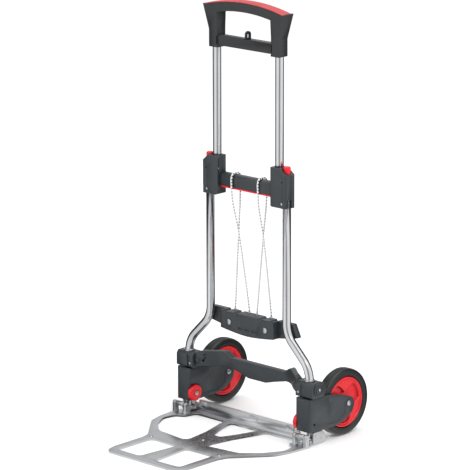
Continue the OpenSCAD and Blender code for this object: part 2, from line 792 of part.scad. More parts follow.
module tyre(side) {
    h = tyre_w / 2;
    color(black) on_side(side) translate([pivot_half, axle_y, wheel_z]) rotate([0, 90, 0])
        rotate_extrude($fn = 96) difference() {
            polygon(rounded([
                [rim_r, -h + 2, 0], [rim_r + 3, -h, 2], [wheel_r - 7, -h, 6], [wheel_r, -h + 8, 9],
                [wheel_r, h - 8, 9], [wheel_r - 7, h, 6], [rim_r + 3, h, 2], [rim_r, h - 2, 0]], 4));
            for (y = [-6, 0, 6]) translate([wheel_r - 1, y - 0.6]) square([2, 1.2]);
        }
}

module rim(side) {
    h = tyre_w / 2 - 2;
    hub_r = 15;
    pocket_in = 24;
    pocket_out = rim_r - 10;
    color(red) on_side(side) translate([pivot_half, axle_y, wheel_z]) rotate([0, 90, 0])
        difference() {
            rotate_extrude($fn = 96) polygon([
                [axle_d / 2 + 3 + run_fit, -h], [hub_r, -h], [hub_r + 2, -h + 3], [rim_r - 7, -h + 3],
                [rim_r - 4, -h], [rim_r - 0.3, -h], [rim_r - 0.3, h], [rim_r - 4, h],
                [rim_r - 7, h - 3], [hub_r + 2, h - 3], [hub_r, h], [axle_d / 2 + 3 + run_fit, h]]);
            for (k = [0:2], z = [-1, 1]) rotate([0, 0, -25 + 120 * k]) intersection() {
                ring_z(pocket_out, pocket_in, z < 0 ? -h - 1 : 4, z < 0 ? -4 : h + 1);
                translate([0, 0, -h - 1]) linear_extrude(2 * h + 2)
                    polygon([[8, 0], [rim_r * cos(36), rim_r * sin(36)], [rim_r * 1.2, 0],
                             [rim_r * cos(36), -rim_r * sin(36)]]);
            }
        }
}

module wheel_bearings(side) {
    h = tyre_w / 2 - 2;
    color(steel) on_side(side) translate([pivot_half, axle_y, wheel_z]) rotate([0, 90, 0])
        for (z = [-h, h - 7])
            ring_z(axle_d / 2 + 3, axle_d / 2 + run_fit, z, z + 7);
}

// ---------- toe plate ----------

module toe_outline() {
    r = toe_reach;
    polygon(rounded(both_sides([
        [108, -r, 8], [122, -r + 10, 12], [130, -r + 40, 40], [131, -r + 140, 40],
        [138, -226, 30], [180, -176, 60], [214, -136, 50], [toe_half - 4, -92, 30],
        [toe_half, -52, 30], [toe_half - 1, toe_back, 4],
        [flange_end + 3, toe_back, 3], [flange_end, strip_back, 3]]), 8));
}

// Five windows: two large leaves at the sides, a fan at the back and two at the front.
module toe_windows() {
    r = toe_reach;
    for (s = [-1, 1]) mirror([s < 0 ? 1 : 0, 0, 0]) {
        polygon(rounded([
            [30, -198, 16], [140, -184, 30], [184, -142, 40], [210, -96, 36], [204, -60, 18],
            [180, -46, 12], [174, window_back, 14], [72, window_back, 16], [44, -110, 40]], 8));
        polygon(rounded([
            [27, -r + 24, 10], [108, -r + 26, 10], [108, -r + 150, 14], [16, -r + 147, 12]], 8));
    }
    polygon(rounded([
        [-50, window_back, 8], [50, window_back, 8], [30, -80, 30], [13, -119, 9],
        [-13, -119, 9], [-30, -80, 30]], 8));
}

module toe_plate() {
    color(alu) placed() difference() {
        union() {
            linear_extrude(toe_t) difference() {
                toe_outline();
                toe_windows();
            }
            for (s = [-1, 1]) mirror([s < 0 ? 1 : 0, 0, 0])
                for (x = [foot_in - lug_gap - lug_t, foot_out + lug_gap]) {
                    translate([0, hinge_y, hinge_z]) rod_x(barrel_r, x, x + lug_t);
                    translate([x, hinge_y - barrel_r, toe_t - 1])
                        cube([lug_t, 2 * barrel_r, hinge_z - toe_t + 1]);
                }
        }
        for (s = [-1, 1]) mirror([s < 0 ? 1 : 0, 0, 0]) translate([0, hinge_y, hinge_z])
            rod_x(hinge_d / 2 + run_fit, foot_in - 20, foot_out + 20);
    }
}

// Upright flange along the back of the toe plate: a web with a face that stands in front of it.
module flange_section(top) {
    f = flange_front;
    polygon([
        [f + 1, toe_t], [f + 8, toe_t], [f + 8, 26], [f + 4, 28], [f + 4, top], [f, top],
        [f, 21], [f + 5, 19], [f + 5, toe_t + 2], [f + 1, toe_t + 2]]);
}

module hinge_flange() {
    color(alu) placed() {
        slab_x(-flange_half, flange_half) flange_section(flange_top);
        for (s = [-1, 1]) mirror([s < 0 ? 1 : 0, 0, 0])
            slab_x(flange_half - eps, flange_end) flange_section(flange_low);
    }
}

module flange_plates() {
    plate_y = flange_front - 1.6;
    color(steel) placed() {
        for (s = [-1, 1]) mirror([s < 0 ? 1 : 0, 0, 0])
            translate([flange_half - 26, plate_y, 24.5]) cube([25, 1.6, flange_top - 27]);
        translate([14, plate_y, 24.5]) cube([24, 1.6, 13]);
    }
}

module plate_rivets() {
    color(steel) placed() {
        for (p = [[0, -168], [-118, -234], [118, -234]]) translate([p[0], p[1], toe_t])
            cylinder(r1 = 5, r2 = 3.5, h = 1.6);
        translate([-118, 0, 31]) rod_y(2.6, flange_front - 1.2, flange_front);
        translate([26, 0, 31]) rod_y(2.6, flange_front - 2.8, flange_front - 1.6);
    }
}

lower_tube(-1);  // lower_tube_left
lower_tube(1);  // lower_tube_right
clamp(-1);  // clamp_left
clamp(1);  // clamp_right
clamp_cover(-1);  // clamp_cover_left
clamp_cover(1);  // clamp_cover_right
clamp_bushes();
clamp_screws();
release_button(-1);  // release_button_left
release_button(1);  // release_button_right
button_spring(-1);  // button_spring_left
button_spring(1);  // button_spring_right
upper_crossbar();
crossbar_strip();
bungee_cord_left();
bungee_cord_right();
anchor_bar();
cord_hooks();
anchor_rivets();
knuckle(-1);  // knuckle_left
knuckle(1);  // knuckle_right
tube_rings();
knuckle_rivets();
bow_bar();
bow_bar_pins();
pivot_shaft(-1);  // pivot_shaft_left
pivot_shaft(1);  // pivot_shaft_right
foot(-1);  // foot_left
foot(1);  // foot_right
foot_screws();
hinge_pins();
upper_tube(-1);  // upper_tube_left
upper_tube(1);  // upper_tube_right
tube_plugs();
handle_frame();
grip_pad();
handle_hook();
fork(-1);  // fork_left
fork(1);  // fork_right
fork_bushes(-1);  // fork_bushes_left
fork_bushes(1);  // fork_bushes_right
axle(-1);  // axle_left
axle(1);  // axle_right
roller_pin(-1);  // roller_pin_left
roller_pin(1);  // roller_pin_right
roller(-1);  // roller_left
roller(1);  // roller_right
tyre(-1);  // tyre_left
tyre(1);  // tyre_right
rim(-1);  // rim_left
rim(1);  // rim_right
wheel_bearings(-1);  // wheel_bearings_left
wheel_bearings(1);  // wheel_bearings_right
toe_plate();
hinge_flange();
flange_plates();
plate_rivets();
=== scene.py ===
import math

import bpy
import numpy as np
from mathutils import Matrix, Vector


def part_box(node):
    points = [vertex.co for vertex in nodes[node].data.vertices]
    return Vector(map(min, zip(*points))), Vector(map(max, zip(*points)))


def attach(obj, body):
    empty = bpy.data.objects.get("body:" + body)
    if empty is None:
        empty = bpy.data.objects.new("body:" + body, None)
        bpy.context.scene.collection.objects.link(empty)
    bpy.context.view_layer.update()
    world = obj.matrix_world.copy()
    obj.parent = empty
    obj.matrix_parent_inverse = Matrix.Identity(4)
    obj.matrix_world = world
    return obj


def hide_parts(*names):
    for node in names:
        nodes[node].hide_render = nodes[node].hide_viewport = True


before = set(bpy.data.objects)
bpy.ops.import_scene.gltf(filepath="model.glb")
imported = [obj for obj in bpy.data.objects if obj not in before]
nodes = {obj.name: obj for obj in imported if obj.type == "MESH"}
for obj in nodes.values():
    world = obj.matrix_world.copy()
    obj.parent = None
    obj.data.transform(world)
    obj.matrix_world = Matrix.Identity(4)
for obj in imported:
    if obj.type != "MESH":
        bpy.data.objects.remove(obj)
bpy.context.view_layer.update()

# ---------------------------------------------------------------------------------------------
# The view and the studio. A long lens stands in front and to the right of the truck, a little
# above it. The floor is a wide white sheet in a white world; three soft panels light the truck,
# and a tent that only reflections see puts dark lines on the bright tubes.
# ---------------------------------------------------------------------------------------------
scene = bpy.context.scene
tube_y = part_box("upper_crossbar")[0].y + 0.010  # the plane of all four tubes
view_yaw, view_pitch, view_roll = (math.radians(a) for a in (43.37, 13.93, 0.2))
camera_data = bpy.data.cameras.new("camera")
camera_data.lens = 245.1
camera_data.sensor_width = 36.0
camera_data.shift_x = 0.0236
camera_data.shift_y = 0.0038
camera_data.clip_start = 0.5
camera_data.clip_end = 200.0
camera = bpy.data.objects.new("camera", camera_data)
camera.location = (5.321, -5.712 + tube_y, 2.437)
camera.rotation_euler = (math.pi / 2 - view_pitch, view_roll, view_yaw)
scene.collection.objects.link(camera)
scene.camera = camera
scene.view_settings.view_transform = "Standard"


def feed(tree, socket, value):
    """Gives a socket its value: a link from another node's output, or a constant."""
    if isinstance(value, bpy.types.NodeSocket):
        tree.links.new(value, socket)
    else:
        socket.default_value = value


def add_node(tree, kind, settings=(), **sockets):
    """One shader node: settings are its own properties, sockets its input values by name."""
    made = tree.nodes.new(kind)
    for key, value in dict(settings).items():
        setattr(made, key, value)
    for key, value in sockets.items():
        feed(tree, made.inputs[key.replace("_", " ")], value)
    return made


def ramp(tree, factor, stops):
    """Ramp over factor; stops are pairs of place and grey."""
    made = add_node(tree, "ShaderNodeValToRGB", Fac=factor)
    slots = made.color_ramp.elements
    while len(slots) < len(stops):
        slots.new(0.5)
    for slot, (place, grey) in zip(slots, stops):
        slot.position = place
        slot.color = (grey, grey, grey, 1)
    return made.outputs["Color"]


def material(name, colour, roughness, metallic=0.0, **more):
    """New material with its constants on the Principled shader; returns it, its tree and the
    shader. more holds other inputs by name."""
    made = bpy.data.materials.new(name)
    made.use_nodes = True
    shader = made.node_tree.nodes["Principled BSDF"]
    shader.inputs["Base Color"].default_value = (*colour, 1)
    shader.inputs["Roughness"].default_value = roughness
    shader.inputs["Metallic"].default_value = metallic
    for key, value in more.items():
        shader.inputs[key.replace("_", " ")].default_value = value
    return made, made.node_tree, shader


def studio_object(name, spots, faces, finish):
    """Mesh object of the studio, in one material."""
    mesh = bpy.data.meshes.new(name)
    mesh.from_pydata(spots, [], faces)
    mesh.materials.append(finish)
    made = bpy.data.objects.new(name, mesh)
    scene.collection.objects.link(made)
    return made


def area_light(name, place, aim, size, power):
    """Rectangular soft panel at place, turned towards aim."""
    data = bpy.data.lights.new(name, "AREA")
    data.shape = "RECTANGLE"
    data.size, data.size_y = size
    data.energy = power
    lamp = bpy.data.objects.new(name, data)
    lamp.location = place
    direction = np.array(aim) - np.array(place)
    lamp.rotation_euler = (
        math.atan2(math.hypot(direction[0], direction[1]), -direction[2]), 0,
        math.atan2(direction[1], direction[0]) - math.pi / 2)
    scene.collection.objects.link(lamp)


half, depth = 30.0, -0.0004
white_sheet, tree, shader = material("floor", (0.96, 0.96, 0.96), 0.9, Specular_IOR_Level=0.0)
floor = studio_object("floor", [(-half, -half, depth), (half, -half, depth),
                                (half, half, depth), (-half, half, depth)],
                      [(0, 1, 2, 3)], white_sheet)

# the tent: a tall cup round the truck, closed below, whose wall glows light and dark by turns
tent_radius, tent_height, tent_sides = 1.3, 2.0, 96
turn = np.linspace(0, 2 * np.pi, tent_sides, endpoint=False)
tent_spots = np.stack([np.repeat(tent_radius * np.cos(turn), 2),
                       np.repeat(tent_radius * np.sin(turn), 2),
                       np.tile([0.0, tent_height], tent_sides)], -1)
low_ring = np.arange(0, 2 * tent_sides, 2)
next_low = np.roll(low_ring, -1)
tent_walls = np.stack([low_ring, low_ring + 1, next_low + 1, next_low], -1)
tent_glow, tree, shader = material("tent", (0, 0, 0), 0.5, Specular_IOR_Level=0.0,
                                   Emission_Strength=0.95)
around = add_node(tree, "ShaderNodeTexGradient", {"gradient_type": "RADIAL"},
                  Vector=add_node(tree, "ShaderNodeTexCoord").outputs["Object"])
tent_shade = ramp(tree, around.outputs["Fac"], [
    (0.00, 0.03), (0.07, 0.04), (0.10, 0.75), (0.25, 1.0), (0.29, 0.95), (0.33, 0.34),
    (0.40, 0.34), (0.44, 0.90), (0.60, 1.0), (0.64, 0.05), (0.74, 0.03), (0.78, 0.55),
    (0.87, 0.75), (0.95, 0.55), (0.98, 0.03)])
tree.links.new(tent_shade, shader.inputs["Emission Color"])
tent = studio_object("tent", tent_spots.tolist(), [*tent_walls.tolist(), low_ring.tolist()],
                     tent_glow)
tent.location = (0, tube_y, 0)
tent.visible_camera = tent.visible_diffuse = tent.visible_shadow = False

world = bpy.data.worlds.new("studio")
scene.world = world
world.use_nodes = True
world.node_tree.nodes["Background"].inputs["Color"].default_value = (1.0, 1.0, 1.0, 1)
world.node_tree.nodes["Background"].inputs["Strength"].default_value = 1.02
middle = (0.0, tube_y, 0.5)
area_light("key", (3.4, -1.2, 3.4), middle, (1.2, 1.8), 60)
area_light("fill", (-3.6, -2.2, 2.4), middle, (1.4, 2.4), 18)
area_light("top", (0.2, 0.6, 4.2), middle, (3.0, 3.0), 40)

# ---------------------------------------------------------------------------------------------
# Lower tubes: bright drawn aluminium, bent twice to spread to the pivots. They stand in the
# knuckles below and end inside the clamps above; drawing leaves faint lines along them.
# ---------------------------------------------------------------------------------------------
sides = ((-1, "left"), (1, "right"))
tube_radius = 0.0110
pivot_x, slide_x = 0.208, 0.131  # the lower tubes' feet and tops, from the truck's middle


def noise(tree, scale, detail, stretch=(1, 1, 1)):
    """Noise on Object coordinates, stretched per axis; scale is in cycles per metre."""
    spot = add_node(tree, "ShaderNodeTexCoord").outputs["Object"]
    mapped = add_node(tree, "ShaderNodeMapping", Vector=spot, Scale=stretch)
    return add_node(tree, "ShaderNodeTexNoise", Vector=mapped.outputs["Vector"],
                    Scale=scale, Detail=detail, Roughness=0.6).outputs["Fac"]


def mix_colour(tree, factor, first, second):
    """Blend of two colours by factor. A Mix node's colours are its sockets 6 and 7, and
    output 2."""
    made = add_node(tree, "ShaderNodeMix", {"data_type": "RGBA"})
    feed(tree, made.inputs[0], factor)
    for socket, value in ((made.inputs[6], first), (made.inputs[7], second)):
        feed(tree, socket, value if isinstance(value, bpy.types.NodeSocket) else (*value, 1))
    return made.outputs[2]


def between(tree, factor, low, high):
    """factor 0..1 spread linearly from low to high."""
    return add_node(tree, "ShaderNodeMapRange", Value=factor, To_Min=low, To_Max=high).outputs[0]


def bump(tree, height, depth, strength):
    """Bump of the given depth in metres."""
    return add_node(tree, "ShaderNodeBump", Height=height, Distance=depth,
                    Strength=strength).outputs["Normal"]


def drawn_metal(name, colour, roughness, lines, depth=0.0000015):
    """Bright metal with fine lines. lines stretches their noise and is small along them; the
    tone changes slowly by 7 percent."""
    made, tree, shader = material(name, colour, roughness, 1.0)
    streak = noise(tree, 900, 3, lines)
    cloud = ramp(tree, noise(tree, 9, 4), [(0.35, 0.0), (0.65, 1.0)])
    tree.links.new(mix_colour(tree, cloud, [c * 0.93 for c in colour], colour),
                   shader.inputs["Base Color"])
    tree.links.new(between(tree, streak, roughness - 0.05, roughness + 0.08),
                   shader.inputs["Roughness"])
    tree.links.new(bump(tree, streak, depth, 0.6), shader.inputs["Normal"])
    return made


def outward(mesh):
    """Turns the faces outwards: a closed surface then encloses a positive volume."""
    mesh.calc_loop_triangles()
    spots = np.empty(len(mesh.vertices) * 3)
    mesh.vertices.foreach_get("co", spots)
    corners = np.empty(len(mesh.loop_triangles) * 3, dtype=np.int32)
    mesh.loop_triangles.foreach_get("vertices", corners)
    a, b, c = spots.reshape(-1, 3)[corners.reshape(-1, 3)].transpose(1, 0, 2)
    if np.einsum("ij,ij->i", a, np.cross(b, c)).sum() < 0:
        mesh.flip_normals()
    return mesh


def grid_mesh(name, points, close_u=False, close_v=False, uv=None, caps=False):
    """Mesh from a grid of points (rows, columns, 3): four neighbours make a face.

    close_u joins the last row to the first, close_v the last column to the first, and caps
    closes the first and the last row with one face each.
    """
    rows, columns = points.shape[:2]
    index = np.arange(rows * columns).reshape(rows, columns)
    ends = [index[0].tolist()[::-1], index[-1].tolist()] if caps else []
    if close_u:
        index = np.vstack([index, index[:1]])
    if close_v:
        index = np.hstack([index, index[:, :1]])
    faces = np.stack([index[:-1, :-1], index[1:, :-1], index[1:, 1:], index[:-1, 1:]], -1)
    mesh = bpy.data.meshes.new(name)
    mesh.from_pydata(points.reshape(-1, 3).tolist(), [], faces.reshape(-1, 4).tolist() + ends)
    smooth = np.full(len(mesh.polygons), True)
    if caps:
        smooth[-2:] = False
    mesh.polygons.foreach_set("use_smooth", smooth)
    if uv is not None:
        u = uv[0] * np.arange(rows + close_u) / max(1, rows - 1 + close_u)
        v = uv[1] * np.arange(columns + close_v) / max(1, columns - 1 + close_v)
        grid = np.stack(np.meshgrid(u, v, indexing="ij"), -1)
        corner = np.stack([grid[:-1, :-1], grid[1:, :-1], grid[1:, 1:], grid[:-1, 1:]], 2)
        values = np.zeros(len(mesh.loops) * 2)
        values[:corner.size] = corner.ravel()
        mesh.uv_layers.new(name="along").data.foreach_set("uv", values)
    mesh.update()
    return outward(mesh)


def piece(name, mesh, finish, body, slot, *replaced):
    """Puts a finished mesh in the scene, on its body, in place of the named CAD nodes."""
    made = bpy.data.objects.new(name, mesh)
    mesh.materials.append(finish)
    scene.collection.objects.link(made)
    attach(made, body)
    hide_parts(*replaced)


def rings_along(path, radius, sides):
    """Rings round a path: spot = path + radius times (first cos angle + second sin angle).

    Each ring stands across the path. Its first axis starts along x and is carried on by taking
    away what points along the path, so the rings don't twist; the second is square to both.
    radius is one number or one per point of the grid.
    """
    ahead = np.gradient(path, axis=0)
    ahead /= np.linalg.norm(ahead, axis=1, keepdims=True)
    first = np.empty_like(path)
    carry = np.array([1.0, 0.0, 0.0])
    for k, direction in enumerate(ahead):
        carry = carry - direction * carry.dot(direction)
        carry /= np.linalg.norm(carry)
        first[k] = carry
    second = np.cross(ahead, first)
    angle = np.linspace(0, 2 * np.pi, sides, endpoint=False)[None, :, None]
    reach = np.broadcast_to(radius, (len(path), sides))[:, :, None]
    spokes = first[:, None] * np.cos(angle) + second[:, None] * np.sin(angle)
    return path[:, None] + reach * spokes


def tube_route(side):
    """Centre line of a lower tube from its foot: straight up at pivot_x, a 45 degree bend of
    70 mm radius inwards, a straight slope, the same bend back, then straight up at slide_x."""
    bend, foot, bend_start, top = 0.070, 0.150, 0.165, 0.659
    turn = np.radians(np.linspace(0, 45, 24))
    lean = turn[-1]
    slope = (pivot_x - slide_x - 2 * bend * (1 - math.cos(lean))) / math.sin(lean)
    lower = np.stack([pivot_x - bend * (1 - np.cos(turn)), bend_start + bend * np.sin(turn)], -1)
    rise = lower[-1] + slope * np.array([-math.sin(lean), math.cos(lean)])
    upper = np.stack([rise[0] - bend * (np.cos(turn[::-1]) - np.cos(lean)),
                      rise[1] + bend * (np.sin(lean) - np.sin(turn[::-1]))], -1)
    line = np.vstack([[[pivot_x, foot], [pivot_x, foot + 0.008]], lower, upper,
                      [[slide_x, top]]])
    return np.stack([side * line[:, 0], np.full(len(line), tube_y), line[:, 1]], -1)


bright_tube = drawn_metal("bright_tube", (0.80, 0.81, 0.83), 0.13, (1, 1, 0.02))
for side, word in sides:
    route = rings_along(tube_route(side), tube_radius, 64)
    piece(f"lower_tube_smooth_{word}", grid_mesh("lower_tube", route, close_v=True, caps=True),
          bright_tube, "root", "tube_aluminium", f"lower_tube_{word}")

# ---------------------------------------------------------------------------------------------
# Tube clamps: two moulded halves, a body and a cover, screwed together round both tubes, with
# bushes for the sliding ones. Anthracite plastic with a fine spark-eroded grain.
# ---------------------------------------------------------------------------------------------


def calculate(tree, operation, *values):
    """Result of a Math node; the values go into its sockets in order."""
    made = add_node(tree, "ShaderNodeMath", {"operation": operation})
    for socket, value in zip(made.inputs, values):
        feed(tree, socket, value)
    return made.outputs[0]


def edge_mask(tree, radius):
    """1 on edges that hands and floors rub, 0 on open faces: how far a rounded normal turns."""
    soft = add_node(tree, "ShaderNodeBevel", {"samples": 4}, Radius=radius).outputs["Normal"]
    true = add_node(tree, "ShaderNodeNewGeometry").outputs["Normal"]
    dot = add_node(tree, "ShaderNodeVectorMath", {"operation": "DOT_PRODUCT"})
    tree.links.new(soft, dot.inputs[0])
    tree.links.new(true, dot.inputs[1])
    return add_node(tree, "ShaderNodeMapRange", Value=dot.outputs["Value"], From_Min=0.97,
                    From_Max=0.80, To_Min=0.0, To_Max=1.0).outputs[0]


def painted_hollow_shade(tree, colour, reach, darkest):
    """Painted shade: darkens a colour in corners and hollows closer than reach, by ambient
    occlusion.
    """
    open_air = add_node(tree, "ShaderNodeAmbientOcclusion", {"samples": 8}, Distance=reach)
    shade = between(tree, open_air.outputs["AO"], darkest, 1.0)
    darker = add_node(tree, "ShaderNodeVectorMath", {"operation": "SCALE"})
    tree.links.new(colour, darker.inputs[0])
    tree.links.new(shade, darker.inputs["Scale"])
    return darker.outputs["Vector"]


def moulded(name, colour, roughness, grain=0.00003, wear=0.25, pale=1.7):
    """Moulded plastic: fine spark-eroded grain, slow tone changes, paler rubbed edges and painted
    shade in corners and hollows.
    """
    made, tree, shader = material(name, colour, roughness)
    tone = ramp(tree, noise(tree, 26, 4), [(0.3, 0.0), (0.7, 1.0)])
    base = mix_colour(tree, tone, [c * 0.90 for c in colour], [c * 1.10 for c in colour])
    rubbed = calculate(tree, "MULTIPLY", edge_mask(tree, 0.0012),
                       between(tree, noise(tree, 120, 4), 0.0, wear * 2))
    worn = mix_colour(tree, rubbed, base, [min(0.9, c * pale + 0.01) for c in colour])
    # painted shade: ambient occlusion darkens the colour in corners and hollows
    tree.links.new(painted_hollow_shade(tree, worn, 0.010, 0.25), shader.inputs["Base Color"])
    tree.links.new(between(tree, noise(tree, 60, 5), roughness - 0.07, roughness + 0.07),
                   shader.inputs["Roughness"])
    tree.links.new(bump(tree, noise(tree, 1600, 2), grain, 0.5), shader.inputs["Normal"])
    return made


def finish_node(name, made, break_edge=0.0005, sharp=32):
    """Gives a CAD node its material and breaks its edges with a narrow bevel."""
    node = nodes[name]
    node.data.materials.clear()
    node.data.materials.append(made)
    node.data.polygons.foreach_set("use_smooth", np.full(len(node.data.polygons), True))
    weld = node.modifiers.new("weld", "WELD")
    weld.merge_threshold = 0.00001
    bevel = node.modifiers.new("edges", "BEVEL")
    bevel.width = break_edge
    bevel.segments = 2
    bevel.limit_method = "ANGLE"
    bevel.angle_limit = math.radians(sharp)
    bevel.harden_normals = True


def both(name):
    """Names of the left and the right node."""
    return [f"{name}_left", f"{name}_right"]


anthracite = moulded("anthracite_plastic", (0.030, 0.037, 0.042), 0.38)
black_plastic = moulded("black_plastic", (0.012, 0.013, 0.014), 0.34)
for name in both("clamp") + both("clamp_cover"):
    finish_node(name, anthracite, 0.0012)
finish_node("clamp_bushes", black_plastic)

# ---------------------------------------------------------------------------------------------
# Steel parts of the whole frame: screws, rivets, pins, hooks, rings, shafts and springs, turned
# or pressed and zinc-plated, a little duller than the tubes. A narrow bevel breaks their edges.
# ---------------------------------------------------------------------------------------------
plated_steel = drawn_metal("plated_steel", (0.66, 0.67, 0.69), 0.26, (1, 1, 1))
for name in ["clamp_screws", "cord_hooks", "anchor_rivets", "tube_rings", "knuckle_rivets",
             "bow_bar_pins", "foot_screws", "hinge_pins", "flange_plates", "plate_rivets",
             *both("pivot_shaft"), *both("axle"), *both("roller_pin"), *both("button_spring")]:
    finish_node(name, plated_steel, 0.0004)

# ---------------------------------------------------------------------------------------------
# Release buttons: domed moulded caps on top of the clamps, which sink onto steel springs.
# Red plastic, polished by thumbs.
# ---------------------------------------------------------------------------------------------
red_plastic = moulded("red_plastic", (0.70, 0.010, 0.018), 0.28, 0.00001, 0.1, 1.2)
for name in both("release_button"):
    finish_node(name, red_plastic, 0.0015)

# ---------------------------------------------------------------------------------------------
# Upper crossbar and the red strip under it: an anthracite moulding between the clamps; the
# strip is moulded separately in red and pushed into its groove.
# ---------------------------------------------------------------------------------------------
finish_node("upper_crossbar", anthracite, 0.0025)
finish_node("crossbar_strip", red_plastic, 0.0008)

# ---------------------------------------------------------------------------------------------
# Elastic cords: round braided cord, white with black flecks, looped over the crossbar and
# hung on two hooks each. Each is one piece from hook to hook, with its braid in relief.
# ---------------------------------------------------------------------------------------------
cord_step, cord_sides = 0.0009, 32      # between two rings, and points of a ring
cord_radius, ridge = 0.00222, 0.00016   # the braid's middle, and its relief to each side
ridge_pitch, fleck_pitch = 0.006, 0.008


def smooth_path(points, step):
    """Curve through the points at even steps. Each stretch is a cubic whose slope at a point is
    that of the line between its two neighbours, measured over the distance between them."""
    points = np.array(points, float)
    along = np.concatenate([[0], np.cumsum(np.linalg.norm(np.diff(points, axis=0), axis=1))])
    slope = np.gradient(points, along, axis=0)
    fine = []
    for k, reach in enumerate(np.diff(along)):
        t = np.linspace(0, 1, 60, endpoint=False)[:, None]
        fine.append(points[k] * (1 + 2 * t) * (1 - t) ** 2
                    + slope[k] * reach * t * (1 - t) ** 2
                    + points[k + 1] * t ** 2 * (3 - 2 * t)
                    - slope[k + 1] * reach * t ** 2 * (1 - t))
    fine = np.vstack([*fine, points[-1:]])
    along = np.concatenate([[0], np.cumsum(np.linalg.norm(np.diff(fine, axis=0), axis=1))])
    want = np.linspace(0, along[-1], int(along[-1] / step) + 1)
    return np.stack([np.interp(want, along, fine[:, k]) for k in range(3)], -1)


def cord_route(loop, front, back):
    """Centre line of a cord in metres: from the front hook up to the crossbar, over it close to
    its faces and down behind it to the back hook. The three numbers are x in millimetres."""
    rise, fall = loop - front, loop - back
    spots = [
        (front, 18, 301.6), (front + rise * 0.30, 11, 396.4), (front + rise * 0.65, 1, 506.4),
        (loop, -13.2, 616), (loop, -13.2, 628), (loop, -13.2, 647.2), (loop, -11.2, 653.7),
        (loop, -6.2, 657.6), (loop, 3, 658.2), (loop, 12.2, 657.6), (loop, 17.2, 653.7),
        (loop, 19.2, 647.2), (loop, 19.2, 628), (loop, 19.2, 616),
        (back + fall * 0.65, 19, 506.4), (back + fall * 0.30, 18.5, 396.4), (back, 18, 301.6)]
    return smooth_path(np.array(spots) * 0.001 + [0, tube_y, 0], cord_step)


def cord_rings(path):
    """Braid: two families of four ridges wind round the cord in opposite turns. The radius is
    its middle value plus ridge times the larger of cos(4 angle + phase) and
    cos(4 angle - phase), where the phase makes a full turn in every ridge_pitch."""
    phase = np.arange(len(path))[:, None] * cord_step * 2 * np.pi / ridge_pitch
    angle = np.linspace(0, 2 * np.pi, cord_sides, endpoint=False)[None, :]
    crest = np.maximum(np.cos(4 * angle + phase), np.cos(4 * angle - phase))
    return rings_along(path, cord_radius + ridge * crest, cord_sides)


cord_braid, tree, shader = material("cord_braid", (0.80, 0.80, 0.79), 0.75)
place = add_node(tree, "ShaderNodeSeparateXYZ",
                 Vector=add_node(tree, "ShaderNodeUVMap", {"uv_map": "along"}).outputs["UV"])
strands = [calculate(tree, "SINE", calculate(tree, "MULTIPLY_ADD", place.outputs["Y"],
                                             2 * math.pi * turn, place.outputs["X"]))
           for turn in (1, -1)]
# a fleck shows where a dark strand of one family crosses over a dark one of the other
both_dark = calculate(tree, "MINIMUM", *strands)
fleck = ramp(tree, calculate(tree, "ADD", both_dark, 0.5), [(0.42, 0.0), (0.56, 1.0)])
tree.links.new(mix_colour(tree, fleck, (0.74, 0.74, 0.74), (0.025, 0.025, 0.03)),
               shader.inputs["Base Color"])
tree.links.new(bump(tree, noise(tree, 2600, 2), 0.00004, 0.6), shader.inputs["Normal"])
for word, loop, front, back in (("left", -45, -13, -62), ("right", 45, 62, 13)):
    path = cord_route(loop, front, back)
    flecks = len(path) * cord_step / fleck_pitch
    piece(f"cord_{word}", grid_mesh("cord", cord_rings(path), close_v=True, caps=True,
                                    uv=(2 * math.pi * flecks, 1)),
          cord_braid, "root", "cord_braid", f"bungee_cord_{word}")

# ---------------------------------------------------------------------------------------------
# Anchor bar: a deep anthracite moulding across the lower tubes that holds the cords' hooks.
# The knuckles below, of the same plastic, close round the tube ends and the pivot shafts.
# ---------------------------------------------------------------------------------------------
finish_node("anchor_bar", anthracite, 0.0014)
for name in both("knuckle"):
    finish_node(name, anthracite, 0.0014)

# ---------------------------------------------------------------------------------------------
# Bow bar: a bowed moulding between the knuckles that swings up when the plate folds.
# Anthracite plastic, pinned at both ends.
# ---------------------------------------------------------------------------------------------
finish_node("bow_bar", anthracite, 0.0020)

# ---------------------------------------------------------------------------------------------
# Feet and hinge: cast aluminium feet, tumbled so that they are satin and softly edged, with
# the barrel that the toe plate turns on.
# ---------------------------------------------------------------------------------------------
cast_metal, tree, shader = material("cast_metal", (0.60, 0.61, 0.62), 0.34, 1.0)
grain = noise(tree, 420, 4)
tree.links.new(mix_colour(tree, grain, (0.52, 0.53, 0.54), (0.68, 0.69, 0.70)),
               shader.inputs["Base Color"])
tree.links.new(between(tree, noise(tree, 90, 4), 0.26, 0.46), shader.inputs["Roughness"])
tree.links.new(bump(tree, grain, 0.00004, 0.6), shader.inputs["Normal"])
for name in both("foot"):
    finish_node(name, cast_metal, 0.0010)

# ---------------------------------------------------------------------------------------------
# Sliding tubes: the same bright drawn aluminium as the lower ones, plugged below; they run
# through the clamps' bushes and carry the handle.
# ---------------------------------------------------------------------------------------------
for name in both("upper_tube"):
    finish_node(name, bright_tube, 0.0004, 50)
finish_node("tube_plugs", black_plastic)

# ---------------------------------------------------------------------------------------------
# Handle: a deep black moulding with a hand opening, well rounded where it is held. A soft red
# pad caps the arch, and a small hook stands on the inner bar.
# ---------------------------------------------------------------------------------------------
def folded(value, power):
    """Power of the size that keeps the sign. Of a circle's cosine and sine it makes a
    superellipse of power 2 / power."""
    return np.sign(value) * np.abs(value) ** power


